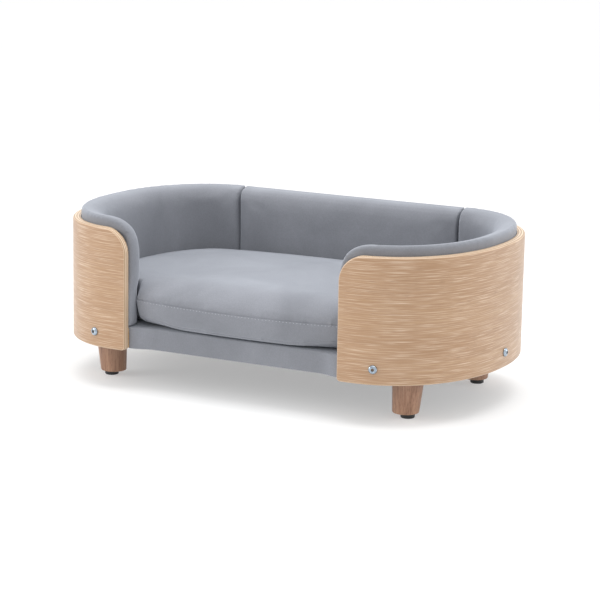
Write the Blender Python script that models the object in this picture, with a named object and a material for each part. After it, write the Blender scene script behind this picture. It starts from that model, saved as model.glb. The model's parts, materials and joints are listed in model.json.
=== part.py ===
"""Dog bed with a frame: two bent plywood ends and a flat plywood back stand on four turned legs round an
upholstered base, with padded linings and a loose T-shaped cushion inside.

Metres, +Z up, +Y to the back. The origin is on the floor, in the middle of the bed.
"""

import math

import bmesh
import bpy
import numpy as np
from mathutils import Matrix, Vector

# Plan of the plywood shell. Each end is a superellipse that runs on into straight stretches.
HALF_DEPTH = 0.2250
END_CENTRE_X = 0.2086
END_REACH = 0.1692
CURVE_POWER = 2.17
OPENING_HALF = 0.1925
BACK_JOINT_X = 0.2000

# Heights, from the floor up.
GLIDE_TOP = 0.0080
PANEL_BOTTOM = 0.0660
LEG_TOP = 0.0677
DUST_COVER_BOTTOM = 0.0680
RAIL_BOTTOM = 0.0691
BOLT_HEIGHT = 0.0910
RAIL_TOP = 0.0970
DECK_TOP = 0.1020
COVER_TOP = 0.1033
LINING_BOTTOM = 0.1042
PANEL_TOP = 0.2650
LINING_TOP = 0.2830

# Plywood shell.
PLY = 0.0130
PANEL_EDGE_ROUND = 0.0030
PANEL_TOP_RADIUS = 0.0420
PANEL_FOOT_RADIUS = 0.0060
JOINT_PLATE = (0.0300, 0.0018, 0.1000)
JOINT_SCREW_X = 0.0085
JOINT_SCREW_HEIGHTS = (0.0300, -0.0300)

# Linings: a thin board against the plywood, with the padding in front of it.
BOARD = 0.0040
BOARD_TOP = 0.2580
PADDING_FACE = 0.0505
PADDING_FRONT = 0.1875
PADDING_FRONT_RADIUS = 0.0500
PADDING_ROUND = 0.0150
LINING_SEAM_X = 0.2080

# Base inside the shell.
RIB = 0.0200
RAIL = 0.0180
FRONT_RAIL_FACE = 0.1992
SLAT = (0.0600, 0.0180)
SLAT_X = 0.1050
BLOCK = 0.0520
BLOCK_CHAMFER = 0.0180
COVER_CLOTH = 0.0010
DUST_CLOTH = 0.0008
BACK_SCREW_X = 0.1300

# Legs.
LEG_X = 0.2740
LEG_Y = 0.1350
LEG_TOP_RADIUS = 0.0256
LEG_FOOT_RADIUS = 0.0213
LEG_FOOT_SHIFT = 0.0038
LEG_BORE_DEPTH = 0.0330
GLIDE_RADIUS = 0.0114
GLIDE_STEM = (0.0020, 0.0180)

# Fasteners, as radius.
SHELL_BOLT = 0.0030
SHELL_BOLT_HEAD = 0.0070
SHELL_BOLT_HEAD_RISE = 0.0037
SHELL_BOLT_SOCKET = 0.0022
SHELL_BOLT_LENGTH = 0.0300
SHELL_BOLT_TURNS = (13.4, 90.0, 166.6)
SHELL_BOLT_PLACES = ("front", "middle", "back")
INSERT = 0.0050
HANGER_BOLT = 0.0040
TEE_NUT = 0.0055
TEE_NUT_FLANGE = 0.0100
TEE_NUT_FLANGE_THICK = 0.0014
TEE_NUT_LENGTH = 0.0120
WOOD_SCREW = 0.0017
WOOD_SCREW_HEAD = 0.0034

# Cushion.
CUSHION_BOTTOM = 0.1045
CUSHION_TOP = 0.1780
CUSHION_FRONT_MIDDLE = 0.2130
CUSHION_FRONT_END = 0.2040
CUSHION_FRONT_HALF = 0.1835
CUSHION_CORNER = 0.0160
CUSHION_INSET = 0.0545
CUSHION_CROWN = 0.0240
CUSHION_FOOT = 0.0090

GAP = 0.0003
SIDES = {"left": -1, "right": 1}
FINE_STEPS = 720
END_STEPS = 24
ROUND_STEPS = 16


def plan_line():
    """The shell's outer line from the front middle round the right end to the back middle, as x, y, arc."""
    turn = np.linspace(0.0, math.pi, FINE_STEPS + 1)
    bulge = np.abs(np.sin(turn)) ** (2 / CURVE_POWER)
    swing = np.sign(np.cos(turn)) * np.abs(np.cos(turn)) ** (2 / CURVE_POWER)
    x = np.concatenate([[0.0], END_CENTRE_X + END_REACH * bulge, [0.0]])
    y = np.concatenate([[-HALF_DEPTH], -HALF_DEPTH * swing, [HALF_DEPTH]])
    arc = np.concatenate([[0.0], np.cumsum(np.hypot(np.diff(x), np.diff(y)))])
    return x, y, arc


PLAN_X, PLAN_Y, PLAN_ARC = plan_line()
ALONG_X, ALONG_Y = np.gradient(PLAN_X, PLAN_ARC), np.gradient(PLAN_Y, PLAN_ARC)
WHOLE_ARC = PLAN_ARC[-1]


def arc_at_turn(degrees):
    """How far along the outer line the end's curve has turned this many degrees."""
    return PLAN_ARC[1 + round(FINE_STEPS * degrees / 180)]


# The arc lengths at which every bent piece has its creases, so that neighbours keep an even gap.
STATIONS = [arc_at_turn(180 * step / END_STEPS) for step in range(END_STEPS + 1)]


def curve_point(arc, inward):
    """The point this far along the shell's outer line and this far inside it."""
    x, y = np.interp(arc, PLAN_ARC, PLAN_X), np.interp(arc, PLAN_ARC, PLAN_Y)
    out = Vector((np.interp(arc, PLAN_ARC, ALONG_Y), -np.interp(arc, PLAN_ARC, ALONG_X), 0)).normalized()
    return Vector((x, y, 0)) - inward * out


def plan_point(arc, inward=0.0):
    """The same, on the flat stretch between two creases, with the way out from that stretch."""
    creases = [0.0] + STATIONS + [WHOLE_ARC]
    after = next((step for step, crease in enumerate(creases) if crease > arc), len(creases) - 1)
    start, end = (curve_point(creases[step], inward) for step in (after - 1, after))
    share = (arc - creases[after - 1]) / (creases[after] - creases[after - 1])
    along = (end - start).normalized()
    return start.lerp(end, share), Vector((along.y, -along.x, 0))


def material(name, colour, roughness, metallic=0.0):
    made = bpy.data.materials.new(name)
    made.use_nodes = True
    shader = made.node_tree.nodes["Principled BSDF"]
    shader.inputs["Base Color"].default_value = (*colour, 1.0)
    shader.inputs["Roughness"].default_value = roughness
    shader.inputs["Metallic"].default_value = metallic
    return made


def add_object(name, shape, finish, location=(0, 0, 0)):
    """Makes an object from a bmesh, shaded smooth but for its corners."""
    mesh = bpy.data.meshes.new(name)
    shape.to_mesh(mesh)
    shape.free()
    mesh.materials.append(finish)
    mesh.shade_smooth()
    mesh.set_sharp_from_angle(angle=math.radians(35))
    made = bpy.data.objects.new(name, mesh)
    made.location = location
    bpy.context.scene.collection.objects.link(made)
    return made


def combine(obj, shape, operation="DIFFERENCE"):
    """Cuts a world-space bmesh out of an object, or joins it on."""
    other = add_object(obj.name + "_cutter", shape, obj.data.materials[0])
    boolean = obj.modifiers.new(operation, "BOOLEAN")
    boolean.operation = operation
    boolean.solver = "EXACT"
    boolean.object = other
    bpy.context.view_layer.update()
    graph = bpy.context.evaluated_depsgraph_get()
    obj.data = bpy.data.meshes.new_from_object(obj.evaluated_get(graph))
    obj.data.name = obj.name
    obj.modifiers.clear()
    bpy.data.objects.remove(other)


def prism(corners, low, high):
    """A flat outline, given anticlockwise, drawn up from one height to another."""
    shape = bmesh.new()
    face = shape.faces.new([shape.verts.new((x, y, low)) for x, y in corners])
    drawn = bmesh.ops.extrude_face_region(shape, geom=[face])
    raised = [item for item in drawn["geom"] if isinstance(item, bmesh.types.BMVert)]
    bmesh.ops.translate(shape, verts=raised, vec=(0, 0, high - low))
    bmesh.ops.recalc_face_normals(shape, faces=shape.faces)
    return shape


def box(low, high):
    corners = [(low[0], low[1]), (high[0], low[1]), (high[0], high[1]), (low[0], high[1])]
    return prism(corners, low[2], high[2])


def turned(profile, steps=ROUND_STEPS, ring=False):
    """A profile of (radius, height) points spun round Z. A ring's profile closes on itself."""
    shape = bmesh.new()
    points = [shape.verts.new((radius, 0, height)) for radius, height in profile]
    ends = list(zip(points, points[1:] + points[:1]))
    edges = [shape.edges.new(pair) for pair in (ends if ring else ends[:-1])]
    bmesh.ops.spin(
        shape, geom=points + edges, axis=(0, 0, 1), cent=(0, 0, 0), angle=2 * math.pi,
        steps=steps, use_merge=True,
    )
    bmesh.ops.remove_doubles(shape, verts=shape.verts, dist=1e-6)
    bmesh.ops.recalc_face_normals(shape, faces=shape.faces)
    return shape


def rod(radius, low, high, steps=ROUND_STEPS, frame=Matrix()):
    """A plain round bar along the frame's Z."""
    shape = turned([(0, low), (radius, low), (radius, high), (0, high)], steps)
    shape.transform(frame)
    return shape


def bar_outline(start, end, height, top_radius, foot_radius, steps=6):
    """A board's flat outline as (arc, height), with the two corners at its start rounded."""
    points = [(end, 0.0), (end, height)]
    for centre, radius, first in (
        ((start + top_radius, height - top_radius), top_radius, 90),
        ((start + foot_radius, foot_radius), foot_radius, 180),
    ):
        if not radius:
            points.append(centre)
            continue
        for step in range(steps + 1):
            turn = math.radians(first + 90 * step / steps)
            points.append((centre[0] + radius * math.cos(turn), centre[1] + radius * math.sin(turn)))
    return points


def bent_board(name, finish, side, ends, depths, heights, top_radius=0.0, foot_radius=0.0, rounding=None):
    """A flat board between two arc lengths, cut to its outline, rounded, and bent to the shell's line.

    depths are how far its two faces lie inside the shell's outer line. rounding is (radius, segments, faces)
    for the edges round its outer face alone, or round both faces but not along the foot.
    """
    shape = bmesh.new()
    outline = bar_outline(*ends, heights[1] - heights[0], top_radius, foot_radius)
    face = shape.faces.new([shape.verts.new((arc, depths[0], height)) for arc, height in outline])
    drawn = bmesh.ops.extrude_face_region(shape, geom=[face])
    moved = [item for item in drawn["geom"] if isinstance(item, bmesh.types.BMVert)]
    bmesh.ops.translate(shape, verts=moved, vec=(0, depths[1] - depths[0], 0))
    bmesh.ops.recalc_face_normals(shape, faces=shape.faces)
    if rounding:
        radius, segments, both = rounding
        edges = [edge for edge in shape.edges if rounded_edge(edge, depths, both)]
        bmesh.ops.bevel(
            shape, geom=edges, offset=radius, segments=segments, profile=0.5, affect="EDGES", material=-1
        )
    for arc in STATIONS:
        if ends[0] < arc < ends[1]:
            everything = shape.verts[:] + shape.edges[:] + shape.faces[:]
            bmesh.ops.bisect_plane(
                shape, geom=everything, dist=1e-6, plane_co=(arc, 0, 0), plane_no=(1, 0, 0)
            )
    for vert in shape.verts:
        point, _ = plan_point(vert.co.x, vert.co.y)
        vert.co = (side * point.x, point.y, vert.co.z)
    if side < 0:
        bmesh.ops.reverse_faces(shape, faces=shape.faces)
    return add_object(name, shape, finish, (0, 0, heights[0]))


def rounded_edge(edge, depths, both):
    """Whether a flat board's edge takes the rounding that both asks for."""
    first, last = (vert.co for vert in edge.verts)
    if abs(first.y - last.y) > 1e-6:
        return False
    if both:
        return max(first.z, last.z) > 1e-6
    return abs(first.y - depths[0]) < 1e-6


def end_outline(inward, front):
    """The plan outline inside the shell at this depth, with its front edge set back to -front."""
    corner = OPENING_HALF + GAP
    arcs = [corner] + STATIONS
    right = [plan_point(arc, inward)[0].xy for arc in arcs]
    left = [(-x, y) for x, y in reversed(right)]
    step = [(corner, -front)]
    return step + [tuple(point) for point in right] + left + [(-corner, -front)]


def shell_bolt_frame(side, degrees):
    """The frame of a shell bolt: on the plywood's outer face, with Z pointing out."""
    point, out = plan_point(arc_at_turn(degrees))
    out = Vector((1, 0, 0)) if degrees == 90 else out
    turn = Vector((side * out.x, out.y, 0)).to_track_quat("Z", "Y").to_matrix().to_4x4()
    return Matrix.Translation((side * point.x, point.y, BOLT_HEIGHT)) @ turn


def build_shell(veneer, steel, screw_steel):
    """Two bent ends and a flat back, joined inside by steel plates let into the plywood."""
    ends = (OPENING_HALF, WHOLE_ARC - BACK_JOINT_X - GAP)
    heights = (PANEL_BOTTOM, PANEL_TOP)
    plate_wide, plate_thick, plate_tall = JOINT_PLATE
    middle = (PANEL_BOTTOM + PANEL_TOP) / 2 + 0.02
    inner = HALF_DEPTH - PLY
    back = add_object(
        "back_panel",
        box((-BACK_JOINT_X, inner, PANEL_BOTTOM), (BACK_JOINT_X, HALF_DEPTH, PANEL_TOP)),
        veneer,
    )
    for name, side in SIDES.items():
        panel = bent_board(
            name + "_end_panel", veneer, side, ends, (0.0, PLY), heights,
            PANEL_TOP_RADIUS, PANEL_FOOT_RADIUS, (PANEL_EDGE_ROUND, 2, False),
        )
        for degrees in SHELL_BOLT_TURNS:
            frame = shell_bolt_frame(side, degrees)
            combine(panel, rod(SHELL_BOLT + GAP, -2 * PLY, PLY, frame=frame))
        centre = Vector((side * BACK_JOINT_X, 0, middle))
        low = centre + Vector((-plate_wide / 2 - GAP, inner - PLY, -plate_tall / 2 - GAP))
        high = centre + Vector((plate_wide / 2 + GAP, inner + plate_thick + 2 * GAP, plate_tall / 2 + GAP))
        plate_low = centre + Vector((-plate_wide / 2, inner + GAP, -plate_tall / 2))
        plate_high = centre + Vector((plate_wide / 2, inner + plate_thick + GAP, plate_tall / 2))
        plate = add_object(name + "_joint_plate", box(plate_low, plate_high), steel)
        combine(panel, box(low, high))
        combine(back, box(low, high))
        for across, up, spot in zip(
            (side * JOINT_SCREW_X, -side * JOINT_SCREW_X), JOINT_SCREW_HEIGHTS, ("end", "back")
        ):
            # Screws go in towards the back, with countersunk heads flush with the plate.
            frame = Matrix.Translation((centre.x + across, inner + GAP, middle + up))
            frame = frame @ Matrix.Rotation(math.radians(-90), 4, "X")
            for target, room in ((panel, GAP), (back, GAP), (plate, GAP)):
                hole = turned(wood_screw_profile(0.0095, room))
                hole.transform(frame)
                combine(target, hole)
            screw = add_object(f"{name}_joint_screw_{spot}", turned(wood_screw_profile(0.0095)), screw_steel)
            screw.matrix_world = frame


def wood_screw_profile(length, room=0.0):
    """A countersunk screw along +Z from its head's face, or the hole for it with this much room."""
    head = WOOD_SCREW_HEAD + room
    body = WOOD_SCREW + room
    start = -3 * room
    cone = WOOD_SCREW_HEAD - WOOD_SCREW
    return [(0, start), (head, start), (head, 0), (body, cone), (body, length), (0, length + body + room)]


def build_linings(cloth, board_ply):
    """A board and its padding against each end and the back."""
    seam = WHOLE_ARC - LINING_SEAM_X
    board_heights = (LINING_BOTTOM, BOARD_TOP)
    padding_heights = (LINING_BOTTOM, LINING_TOP)
    depths = (PLY + GAP, PLY + BOARD)
    padding_depths = (PLY + BOARD + GAP, PADDING_FACE)
    for name, side in SIDES.items():
        bent_board(
            name + "_lining_board", board_ply, side, (OPENING_HALF + 0.004, seam - GAP), depths,
            board_heights, PANEL_TOP_RADIUS - 0.004,
        )
        bent_board(
            name + "_lining", cloth, side, (PADDING_FRONT, seam - GAP), padding_depths,
            padding_heights, PADDING_FRONT_RADIUS, 0.0, (PADDING_ROUND, 3, True),
        )
    face, back = (HALF_DEPTH - depth for depth in reversed(depths))
    reach = LINING_SEAM_X - GAP
    add_object(
        "back_lining_board", box((-reach, face, LINING_BOTTOM), (reach, back, BOARD_TOP)), board_ply
    )
    face, back = (HALF_DEPTH - depth for depth in reversed(padding_depths))
    padding = box((-reach, face, LINING_BOTTOM), (reach, back, LINING_TOP))
    top = [edge for edge in padding.edges if all(vert.co.z > BOARD_TOP for vert in edge.verts)]
    long_edges = [edge for edge in top if abs(edge.verts[0].co.x - edge.verts[1].co.x) > reach]
    bmesh.ops.bevel(
        padding, geom=long_edges, offset=PADDING_ROUND, segments=3, profile=0.5, affect="EDGES", material=-1
    )
    add_object("back_lining", padding, cloth)


def build_base(timber, board_ply, cloth, dust_cloth, brass, screw_steel):
    """Rails and ribs inside the shell, with slats, corner blocks, a deck and its two cloth covers."""
    heights = (RAIL_BOTTOM, RAIL_TOP)
    rib_ends = (OPENING_HALF + GAP, WHOLE_ARC - BACK_JOINT_X - GAP)
    for name, side in SIDES.items():
        rib = bent_board(name + "_rib", timber, side, rib_ends, (PLY + GAP, PLY + RIB), heights)
        for degrees, place in zip(SHELL_BOLT_TURNS, SHELL_BOLT_PLACES):
            frame = shell_bolt_frame(side, degrees)
            combine(rib, rod(INSERT + GAP, -PLY - 2 * RIB, 0, frame=frame))
            low, high = -PLY - RIB + 0.002, -PLY - 0.0015
            bore = SHELL_BOLT + GAP
            sleeve = turned([(INSERT, low), (INSERT, high), (bore, high), (bore, low)], ring=True)
            insert = add_object(f"{name}_insert_{place}", sleeve, brass)
            insert.matrix_world = frame
    front, back = -FRONT_RAIL_FACE, HALF_DEPTH - PLY - GAP
    add_object(
        "front_rail",
        box((-OPENING_HALF, front, RAIL_BOTTOM), (OPENING_HALF, front + RAIL, RAIL_TOP)),
        timber,
    )
    back_rail = add_object(
        "back_rail",
        box((-BACK_JOINT_X, back - RAIL, RAIL_BOTTOM), (BACK_JOINT_X, back, RAIL_TOP)),
        timber,
    )
    back_panel = bpy.data.objects["back_panel"]
    for name, side in SIDES.items():
        frame = Matrix.Translation((side * BACK_SCREW_X, back - RAIL, (RAIL_BOTTOM + RAIL_TOP) / 2))
        frame = frame @ Matrix.Rotation(math.radians(-90), 4, "X")
        for target in (back_rail, back_panel):
            hole = turned(wood_screw_profile(0.0260, GAP))
            hole.transform(frame)
            combine(target, hole)
        screw = add_object(f"{name}_back_screw", turned(wood_screw_profile(0.0260)), screw_steel)
        screw.matrix_world = frame
        slat_wide, slat_tall = SLAT
        x = side * SLAT_X
        add_object(
            name + "_slat",
            box(
                (x - slat_wide / 2, front + RAIL + GAP, RAIL_TOP - slat_tall),
                (x + slat_wide / 2, back - RAIL - GAP, RAIL_TOP),
            ),
            timber,
        )
    outline = end_outline(PLY + 2 * GAP, FRONT_RAIL_FACE)
    add_object("deck", prism(outline, RAIL_TOP + GAP, DECK_TOP), board_ply)
    cover_face = FRONT_RAIL_FACE + GAP + COVER_CLOTH
    cover = add_object(
        "base_cover", prism(end_outline(PLY + 2 * GAP, cover_face), DECK_TOP + GAP, COVER_TOP), cloth
    )
    flap_low = (-OPENING_HALF + GAP, -cover_face, DUST_COVER_BOTTOM)
    flap_high = (OPENING_HALF - GAP, -FRONT_RAIL_FACE - GAP, COVER_TOP - COVER_CLOTH / 2)
    combine(cover, box(flap_low, flap_high), "UNION")
    dust_cover = add_object(
        "dust_cover",
        prism(
            end_outline(PLY + 0.003, FRONT_RAIL_FACE - 0.002),
            DUST_COVER_BOTTOM,
            DUST_COVER_BOTTOM + DUST_CLOTH,
        ),
        dust_cloth,
    )
    return dust_cover


def build_legs(leg_wood, plastic, timber, steel, dust_cover):
    """Four turned legs on hanger bolts that screw up into tee nuts in the corner blocks."""
    nut_foot = RAIL_TOP - TEE_NUT_LENGTH
    nut_rim = RAIL_TOP - TEE_NUT_FLANGE_THICK
    bore_foot = LEG_TOP - LEG_BORE_DEPTH
    bore = HANGER_BOLT + GAP
    stem, stem_top = GLIDE_STEM
    for side_name, side in SIDES.items():
        for end_name, end in (("front", -1), ("back", 1)):
            name = f"{end_name}_{side_name}"
            spot = Vector((side * LEG_X, end * LEG_Y, 0))
            leg = turned(
                [
                    (0, bore_foot), (bore, bore_foot), (bore, LEG_TOP), (LEG_TOP_RADIUS - 0.001, LEG_TOP),
                    (LEG_TOP_RADIUS, LEG_TOP - 0.001), (LEG_FOOT_RADIUS, GLIDE_TOP + 0.002),
                    (LEG_FOOT_RADIUS - 0.002, GLIDE_TOP), (stem + GAP, GLIDE_TOP),
                    (stem + GAP, stem_top + GAP), (0, stem_top + GAP),
                ],
                steps=24,
            )
            # The foot leans in, so that the leg's inner side stands upright.
            for vert in leg.verts:
                if vert.co.xy.length > TEE_NUT_FLANGE:
                    lean = LEG_FOOT_SHIFT * (LEG_TOP - vert.co.z) / (LEG_TOP - GLIDE_TOP)
                    vert.co.x -= side * lean
            add_object("leg_" + name, leg, leg_wood, spot)
            glide = turned(
                [
                    (0, 0), (GLIDE_RADIUS - 0.0015, 0), (GLIDE_RADIUS, 0.0015),
                    (GLIDE_RADIUS, GLIDE_TOP - GAP), (stem, GLIDE_TOP - GAP), (stem, stem_top), (0, stem_top),
                ]
            )
            add_object("glide_" + name, glide, plastic, spot)
            block = box((-BLOCK / 2, -BLOCK / 2, RAIL_BOTTOM), (BLOCK / 2, BLOCK / 2, RAIL_TOP))
            outer = [
                edge for edge in block.edges
                if all(side * vert.co.x > 0 and end * vert.co.y > 0 for vert in edge.verts)
            ]
            bmesh.ops.bevel(
                block, geom=outer, offset=BLOCK_CHAMFER, segments=1, profile=0.5, affect="EDGES", material=-1
            )
            block = add_object("corner_block_" + name, block, timber, spot)
            place = Matrix.Translation(spot)
            combine(block, rod(bore, 0, 2 * RAIL_TOP, frame=place))
            combine(block, rod(TEE_NUT + GAP, nut_foot - GAP, 2 * RAIL_TOP, frame=place))
            combine(block, rod(TEE_NUT_FLANGE + GAP, nut_rim - GAP, 2 * RAIL_TOP, frame=place))
            nut = turned(
                [
                    (bore, nut_foot), (TEE_NUT, nut_foot), (TEE_NUT, nut_rim),
                    (TEE_NUT_FLANGE, nut_rim), (TEE_NUT_FLANGE, RAIL_TOP), (bore, RAIL_TOP),
                ],
                ring=True,
            )
            add_object("tee_nut_" + name, nut, steel, spot)
            add_object(
                "hanger_bolt_" + name, rod(HANGER_BOLT, bore_foot + GAP, RAIL_TOP - GAP), steel, spot
            )
            combine(dust_cover, rod(bore, 0, 2 * RAIL_TOP, frame=place))


def build_shell_bolts(steel):
    """Button-head bolts with hex sockets, through the plywood and into the ribs' inserts."""
    head = SHELL_BOLT_HEAD
    profile = [(0, -SHELL_BOLT_LENGTH), (SHELL_BOLT, -SHELL_BOLT_LENGTH), (SHELL_BOLT, GAP), (head, GAP)]
    for step in range(1, 4):
        turn = math.radians(90 * step / 4)
        profile.append((head * math.cos(turn) ** 0.6, GAP + SHELL_BOLT_HEAD_RISE * math.sin(turn)))
    profile.append((0, GAP + SHELL_BOLT_HEAD_RISE))
    pattern = add_object("shell_bolt_pattern", turned(profile), steel)
    combine(pattern, rod(SHELL_BOLT_SOCKET, SHELL_BOLT_HEAD_RISE / 3, head, steps=6))
    for name, side in SIDES.items():
        for degrees, place in zip(SHELL_BOLT_TURNS, SHELL_BOLT_PLACES):
            bolt = bpy.data.objects.new(f"{name}_shell_bolt_{place}", pattern.data)
            bolt.matrix_world = shell_bolt_frame(side, degrees)
            bpy.context.scene.collection.objects.link(bolt)
    bpy.data.objects.remove(pattern)


def build_cushion(cloth):
    """The loose cushion: a bowed front between the arms, and ears that reach round behind them."""
    front_line = []
    steps = 6
    for step in range(steps + 1):
        x = (CUSHION_FRONT_HALF - CUSHION_CORNER) * step / steps
        bow = (x / CUSHION_FRONT_HALF) ** 2
        front_line.append((x, -CUSHION_FRONT_MIDDLE + (CUSHION_FRONT_MIDDLE - CUSHION_FRONT_END) * bow))
    centre_x, centre_y = front_line[-1][0], front_line[-1][1] + CUSHION_CORNER
    for step in range(1, 4):
        turn = math.radians(90 * step / 3 - 90)
        front_line.append(
            (centre_x + CUSHION_CORNER * math.cos(turn), centre_y + CUSHION_CORNER * math.sin(turn))
        )
    inner_corner = (CUSHION_FRONT_HALF, -HALF_DEPTH + CUSHION_INSET)
    arcs = [OPENING_HALF + 0.001] + STATIONS[1:]
    ear = [tuple(plan_point(arc, CUSHION_INSET)[0].xy) for arc in arcs]
    right = front_line + [inner_corner] + ear
    left = [(-x, y) for x, y in reversed(right[1:])]
    shape = prism(right + left, 0.0, CUSHION_TOP - CUSHION_BOTTOM)
    for low, offset, segments in ((False, CUSHION_CROWN, 3), (True, CUSHION_FOOT, 2)):
        height = 0.0 if low else CUSHION_TOP - CUSHION_BOTTOM
        rim = [edge for edge in shape.edges if all(abs(vert.co.z - height) < 1e-6 for vert in edge.verts)]
        bmesh.ops.bevel(
            shape, geom=rim, offset=offset, segments=segments, profile=0.5, affect="EDGES", material=-1
        )
    add_object("seat_cushion", shape, cloth, (0, 0, CUSHION_BOTTOM))


def main():
    for obj in list(bpy.data.objects):
        bpy.data.objects.remove(obj)
    veneer = material("oak_veneered_plywood", (0.52, 0.36, 0.24), 0.45)
    board_ply = material("birch_plywood", (0.62, 0.47, 0.31), 0.60)
    timber = material("pine", (0.66, 0.50, 0.31), 0.65)
    leg_wood = material("stained_beech", (0.33, 0.20, 0.13), 0.40)
    cloth = material("grey_velvet", (0.30, 0.31, 0.34), 0.90)
    dust_cloth = material("black_dust_cloth", (0.02, 0.02, 0.02), 0.95)
    plastic = material("black_nylon", (0.02, 0.02, 0.02), 0.50)
    steel = material("zinc_plated_steel", (0.70, 0.70, 0.72), 0.25, 1.0)
    screw_steel = material("blackened_screw_steel", (0.18, 0.18, 0.19), 0.40, 1.0)
    brass = material("brass", (0.80, 0.62, 0.30), 0.35, 1.0)
    build_shell(veneer, steel, screw_steel)
    build_linings(cloth, board_ply)
    dust_cover = build_base(timber, board_ply, cloth, dust_cloth, brass, screw_steel)
    build_legs(leg_wood, plastic, timber, steel, dust_cover)
    build_shell_bolts(steel)
    build_cushion(cloth)


main()
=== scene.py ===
import json
import math

import bmesh
import bpy
import numpy as np
from mathutils import Matrix, Vector, noise
from mathutils.bvhtree import BVHTree
from mathutils.kdtree import KDTree


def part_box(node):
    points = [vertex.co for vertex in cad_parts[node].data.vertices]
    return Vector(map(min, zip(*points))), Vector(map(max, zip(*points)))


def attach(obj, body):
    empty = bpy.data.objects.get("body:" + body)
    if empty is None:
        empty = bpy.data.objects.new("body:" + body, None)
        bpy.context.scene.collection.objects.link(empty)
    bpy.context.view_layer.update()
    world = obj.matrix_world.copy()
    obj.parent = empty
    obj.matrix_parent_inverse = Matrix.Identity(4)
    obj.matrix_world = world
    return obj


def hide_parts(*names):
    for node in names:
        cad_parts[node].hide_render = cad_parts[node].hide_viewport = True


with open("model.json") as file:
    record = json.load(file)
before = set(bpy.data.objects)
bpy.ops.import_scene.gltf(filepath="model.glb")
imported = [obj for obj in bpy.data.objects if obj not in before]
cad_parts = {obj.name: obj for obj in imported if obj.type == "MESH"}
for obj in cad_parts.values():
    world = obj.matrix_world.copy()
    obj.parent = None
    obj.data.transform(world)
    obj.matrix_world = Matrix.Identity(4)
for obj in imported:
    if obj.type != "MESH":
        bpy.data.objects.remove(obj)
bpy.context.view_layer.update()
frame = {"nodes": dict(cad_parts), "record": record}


def hexColour(code):
    # sRGB hex to the linear values that shaders take
    shares = [int(code[at:at + 2], 16) / 255 for at in (0, 2, 4)]
    linear = [share / 12.92 if share <= 0.04045 else ((share + 0.055) / 1.055) ** 2.4 for share in shares]
    return linear + [1.0]


def newMaterial(name, settings):
    material = bpy.data.materials.new(name)
    material.use_nodes = True
    shader = material.node_tree.nodes["Principled BSDF"]
    for socket, value in settings.items():
        shader.inputs[socket].default_value = value
    return material, material.node_tree, shader


def addNode(tree, kind, settings=None, links=None):
    # settings are properties or input values, links are sockets to join to inputs
    node = tree.nodes.new("ShaderNode" + kind)
    for key, value in (settings or {}).items():
        if key == "stops":
            ramp = node.color_ramp.elements
            while len(ramp) < len(value):
                ramp.new(1.0)
            for stop, (place, colour) in zip(ramp, value):
                stop.position = place
                stop.color = colour
        elif isinstance(key, int) or key in node.inputs:
            node.inputs[key].default_value = value
        else:
            setattr(node, key, value)
    for key, socket in (links or {}).items():
        tree.links.new(socket, node.inputs[key])
    return node


def grey(level):
    return (level, level, level, 1.0)


def finishPiece(name, shape, material, body, replaced=(), sharp=35):
    # turns a bmesh or a mesh into a piece at the origin that rides on a body
    if isinstance(shape, bmesh.types.BMesh):
        mesh = bpy.data.meshes.new(name)
        shape.to_mesh(mesh)
        shape.free()
    else:
        mesh = shape
    mesh.materials.clear()
    mesh.materials.append(material)
    mesh.shade_smooth()
    if sharp:
        mesh.set_sharp_from_angle(angle=math.radians(sharp))
    piece = bpy.data.objects.new(name, mesh)
    bpy.context.scene.collection.objects.link(piece)
    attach(piece, body)
    if replaced:
        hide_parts(*replaced)
    return piece


def evenShading(piece):
    # keeps wide faces flat where they run into a small rounding
    weighted = piece.modifiers.new("even shading", "WEIGHTED_NORMAL")
    weighted.keep_sharp = True


def coordinates(mesh):
    flat = np.empty(len(mesh.vertices) * 3, np.float32)
    mesh.vertices.foreach_get("co", flat)
    return flat.reshape(-1, 3).astype(float)


def setCoordinates(mesh, points):
    mesh.vertices.foreach_set("co", points.astype(np.float32).ravel())
    mesh.update()


# the line that the plywood and everything inside it is bent to

shellLine = {
    "endCentre": 0.2086,  # where each end's curve leaves the straight stretch
    "power": 2.17,        # of the superellipse
    "steps": 2880,
}
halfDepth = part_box("back_panel")[1].y
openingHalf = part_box("right_end_panel")[0].x
panelBottom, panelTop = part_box("right_end_panel")[0].z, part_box("right_end_panel")[1].z
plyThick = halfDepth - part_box("back_panel")[0].y
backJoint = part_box("back_panel")[1].x


def makeShellLine():
    turn = np.linspace(0, math.pi, shellLine["steps"] + 1)
    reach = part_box("right_end_panel")[1].x - shellLine["endCentre"]
    root = 2 / shellLine["power"]
    x = shellLine["endCentre"] + reach * np.abs(np.sin(turn)) ** root
    y = -halfDepth * np.sign(np.cos(turn)) * np.abs(np.cos(turn)) ** root
    x, y = np.r_[0, x, 0], np.r_[-halfDepth, y, halfDepth]
    arc = np.r_[0, np.cumsum(np.hypot(np.diff(x), np.diff(y)))]
    return arc, x, y, np.gradient(y, arc), -np.gradient(x, arc)


lineArc, lineX, lineY, outX, outY = makeShellLine()
wholeArc = lineArc[-1]


def arcAtTurn(degrees):
    return lineArc[1 + round(shellLine["steps"] * degrees / 180)]


def bendPoints(points, side):
    # (arc, inward, height) to (x, y, z) round the end on this side
    arc, inward = points[:, 0], points[:, 1]
    normal = np.stack([np.interp(arc, lineArc, outX), np.interp(arc, lineArc, outY)])
    normal /= np.linalg.norm(normal, axis=0)
    x = np.interp(arc, lineArc, lineX) - inward * normal[0]
    y = np.interp(arc, lineArc, lineY) - inward * normal[1]
    return np.stack([side * x, y, points[:, 2]], axis=1)


def bendShape(shape, side):
    moved = bendPoints(np.array([vert.co for vert in shape.verts]), side)
    for vert, place in zip(shape.verts, moved):
        vert.co = place
    if side < 0:
        bmesh.ops.reverse_faces(shape, faces=shape.faces)


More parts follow.
